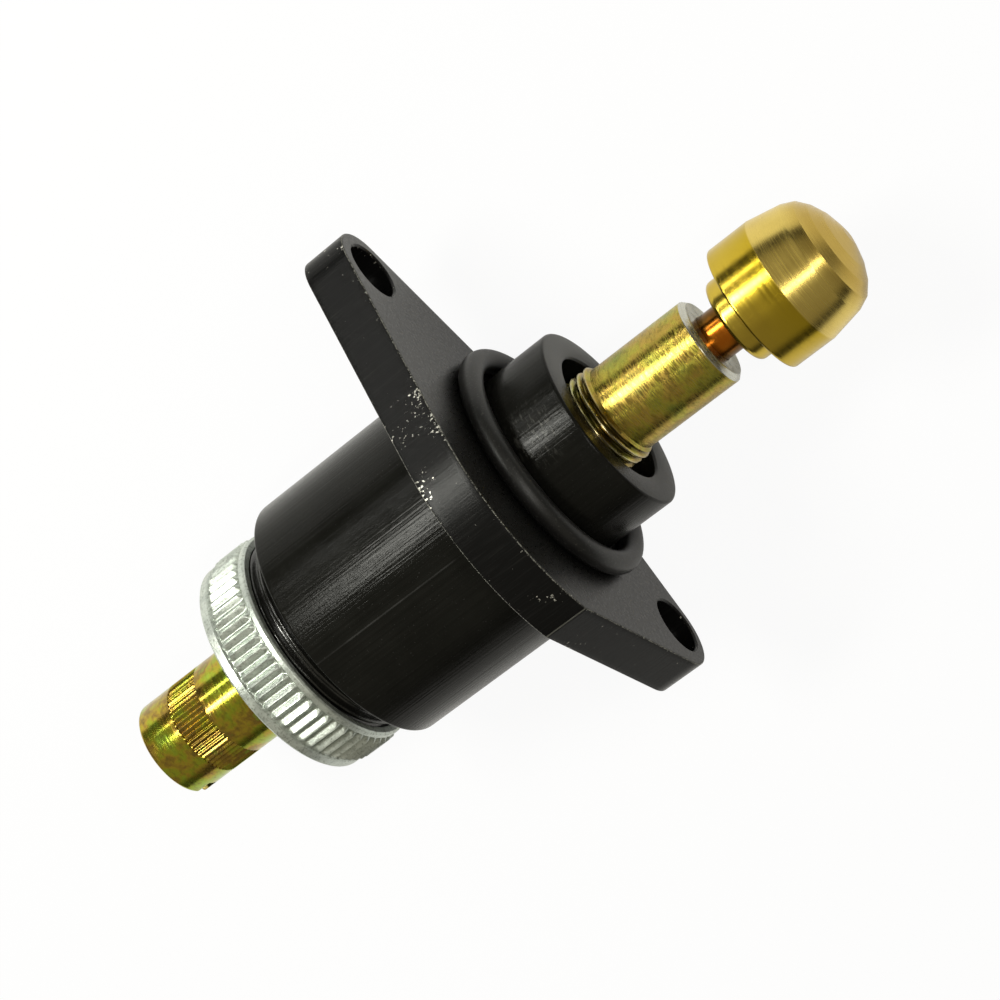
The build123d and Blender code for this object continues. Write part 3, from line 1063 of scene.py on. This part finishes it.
def turned_brass():
    """Turned brass: bright deep gold cylinder, and a paler, finely ringed cone and dome.

    The stem's coppery orange is a painted reflection, left as one spot in a painted shadow over the stem.
    """
    material, tree, shader = new_material("turned_brass", Metallic=1.0)
    rings = noise(tree, *brass_rings)
    cloud = noise(tree, *brass_cloud)
    colour = along_axis(tree, [
        (stem_rear, orange_reflection),
        (collar_rear - stem_fillet, orange_reflection),
        (collar_rear + collar_fillet, collar_gold),
        (cone_rear - row_gap, deep_gold),
        (cone_rear + row_gap, pale_gold),
        (dome_rear, pale_gold),
        (dome_rear + dome_height / 2, tip_gold),
    ])
    satin = along_axis(tree, [
        (stem_rear, grey(0)),
        (cone_rear - row_gap, grey(0)),
        (cone_rear + row_gap, grey(1)),
        (dome_rear, grey(1)),
    ])
    tarnish = spread(tree, cloud, (0.3, 0.6), (0.25, 0))
    colour = mix(tree, tarnish, colour, tarnish_brown)
    # The stem lies in painted shadow, except for a spot of painted orange reflection
    stem = along_axis(tree, [
        (stem_rear, grey(1)),
        (collar_rear - stem_fillet, grey(1)),
        (collar_rear + collar_fillet, grey(0)),
    ])
    patches = noise(tree, *stem_patches)
    unshaded = calc(tree, "ADD", nearness(tree, *orange_reflection_spot), calc(tree, "MULTIPLY", patches, 0.4))
    stem_shade = calc(tree, "MULTIPLY", stem, spread(tree, unshaded, (0.4, 0.8), (0.85, 0)))
    tree.links.new(mix(tree, stem_shade, colour, stem_shadow), shader.inputs["Base Color"])
    ring_polish = spread(tree, rings, (0.3, 0.7), (0.15, 0.27))
    roughness = calc(tree, "ADD", ring_polish, calc(tree, "MULTIPLY", satin, 0.04))
    tree.links.new(roughness, shader.inputs["Roughness"])
    bump(tree, shader, rings, distance=0.005, strength=0.4)
    return material


def natural_nylon():
    """Milky nylon with a faint grain."""
    material, tree, shader = new_material("natural_nylon")
    cloud = noise(tree, *nylon_cloud)
    colour = ramp(tree, cloud, [(0.3, dark_nylon), (0.7, light_nylon)])
    tree.links.new(colour, shader.inputs["Base Color"])
    tree.links.new(spread(tree, cloud, (0, 1), (0.4, 0.6)), shader.inputs["Roughness"])
    return material


def coat(piece, material):
    """Gives a piece its one material."""
    piece.data.materials.clear()
    piece.data.materials.append(material)


def dress(piece, material, body, node):
    """Gives a new piece its material and the body it rides on, and hides the CAD node it stands in for."""
    coat(piece, material)
    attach(piece, body)
    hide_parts(node)


def aim(place, target):
    """Matrix of a lamp at a place, in millimetres, whose -Z axis points at the target."""
    place = Vector(place) * MM
    turn = (Vector(target) * MM - place).to_track_quat("-Z", "Y").to_matrix().to_4x4()
    return Matrix.Translation(place) @ turn


def area_lamp(name, place, size, power, colour):
    """Soft rectangular lamp aimed at the valve's middle."""
    lamp = bpy.data.lights.new(name, "AREA")
    lamp.shape = "RECTANGLE"
    lamp.size, lamp.size_y = size[0] * MM, size[1] * MM
    lamp.energy = power
    lamp.color = colour
    item = bpy.data.objects.new(name, lamp)
    bpy.context.scene.collection.objects.link(item)
    item.matrix_world = aim(place, lamp_target)


def white_to_view(tree, lit, white, output):
    """Shows camera and transmission rays mostly white, glossy rays some of it, and others the lit surface."""
    path = tree.nodes.new("ShaderNodeLightPath")
    seen = calc(tree, "MAXIMUM", path.outputs["Is Camera Ray"], path.outputs["Is Transmission Ray"])
    seen = calc(tree, "MULTIPLY", seen, seen_white)
    mirrored = calc(tree, "MULTIPLY", path.outputs["Is Glossy Ray"], mirrored_white)
    seen = calc(tree, "MAXIMUM", seen, mirrored)
    choice = tree.nodes.new("ShaderNodeMixShader")
    tree.links.new(seen, choice.inputs["Fac"])
    tree.links.new(lit, choice.inputs[1])
    tree.links.new(white, choice.inputs[2])
    tree.links.new(choice.outputs["Shader"], output)


def studio():
    """White floor that keeps a faint shadow of the valve, a dim world with a lighter top, and three lamps."""
    corners = np.array([(-1, -1, 0), (1, -1, 0), (1, 1, 0), (-1, 1, 0)]) * floor_reach
    points = corners - (0, 0, barrel_radius + floor_drop)
    floor = set_mesh("floor", points, [np.array([(0, 1, 2, 3)])])
    material, tree, shader = new_material("floor_white", Base_Color=(*grey(floor_grey), 1), Roughness=0.8)
    glow = add_node(tree, "ShaderNodeEmission", Color=(1, 1, 1, 1), Strength=1.0)
    surface = tree.nodes["Material Output"].inputs["Surface"]
    white_to_view(tree, shader.outputs["BSDF"], glow.outputs["Emission"], surface)
    floor.data.materials.append(material)

    world = bpy.data.worlds.new("studio")
    world.use_nodes = True
    bpy.context.scene.world = world
    tree = world.node_tree
    direction = tree.nodes.new("ShaderNodeTexCoord")
    split = tree.nodes.new("ShaderNodeSeparateXYZ")
    tree.links.new(direction.outputs["Generated"], split.inputs["Vector"])
    sky = ramp(tree, split.outputs["Z"], [(sky_start, low_sky), (sky_end, high_sky)])
    tree.links.new(sky, tree.nodes["Background"].inputs["Color"])

    for name, lamp in lamps.items():
        area_lamp(name, *lamp)


def camera():
    """Camera turned by its right and forward directions."""
    right = Vector(camera_right).normalized()
    forward = Vector(camera_forward).normalized()
    up = right.cross(forward)
    turn = Matrix((right, up, -forward)).transposed().to_4x4()
    lens = bpy.data.cameras.new("camera")
    lens.lens = camera_lens
    lens.clip_start = camera_near * MM
    item = bpy.data.objects.new("camera", lens)
    bpy.context.scene.collection.objects.link(item)
    item.matrix_world = Matrix.Translation(Vector(camera_place) * MM) @ turn
    bpy.context.scene.camera = item


zinc = yellow_zinc()
pale_zinc = white_zinc()
rubber = black_rubber()
dress(body_of_revolution(), black_turning(), "valve", "valve_body")
dress(flange_plate(), black_flange(), "valve", "valve_body")
flange_seal = ring_seal("flange_seal_ring", flange_seal_radius, flange_seal_section, flange_seal_station)
dress(flange_seal, rubber, "valve", "flange_seal")
dress(spindle(), zinc, "spindle", "spindle")
dress(pintle(), turned_brass(), "spindle", "valve_pintle")
dress(lock_nut(), pale_zinc, "nut", "lock_nut")
hidden_pieces = {"spindle_seal": rubber, "lock_bush": natural_nylon(), "thrust_washer": pale_zinc}
for node, material in hidden_pieces.items():
    coat(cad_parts[node], material)

studio()
camera()
bpy.context.scene.view_settings.view_transform = "Standard"
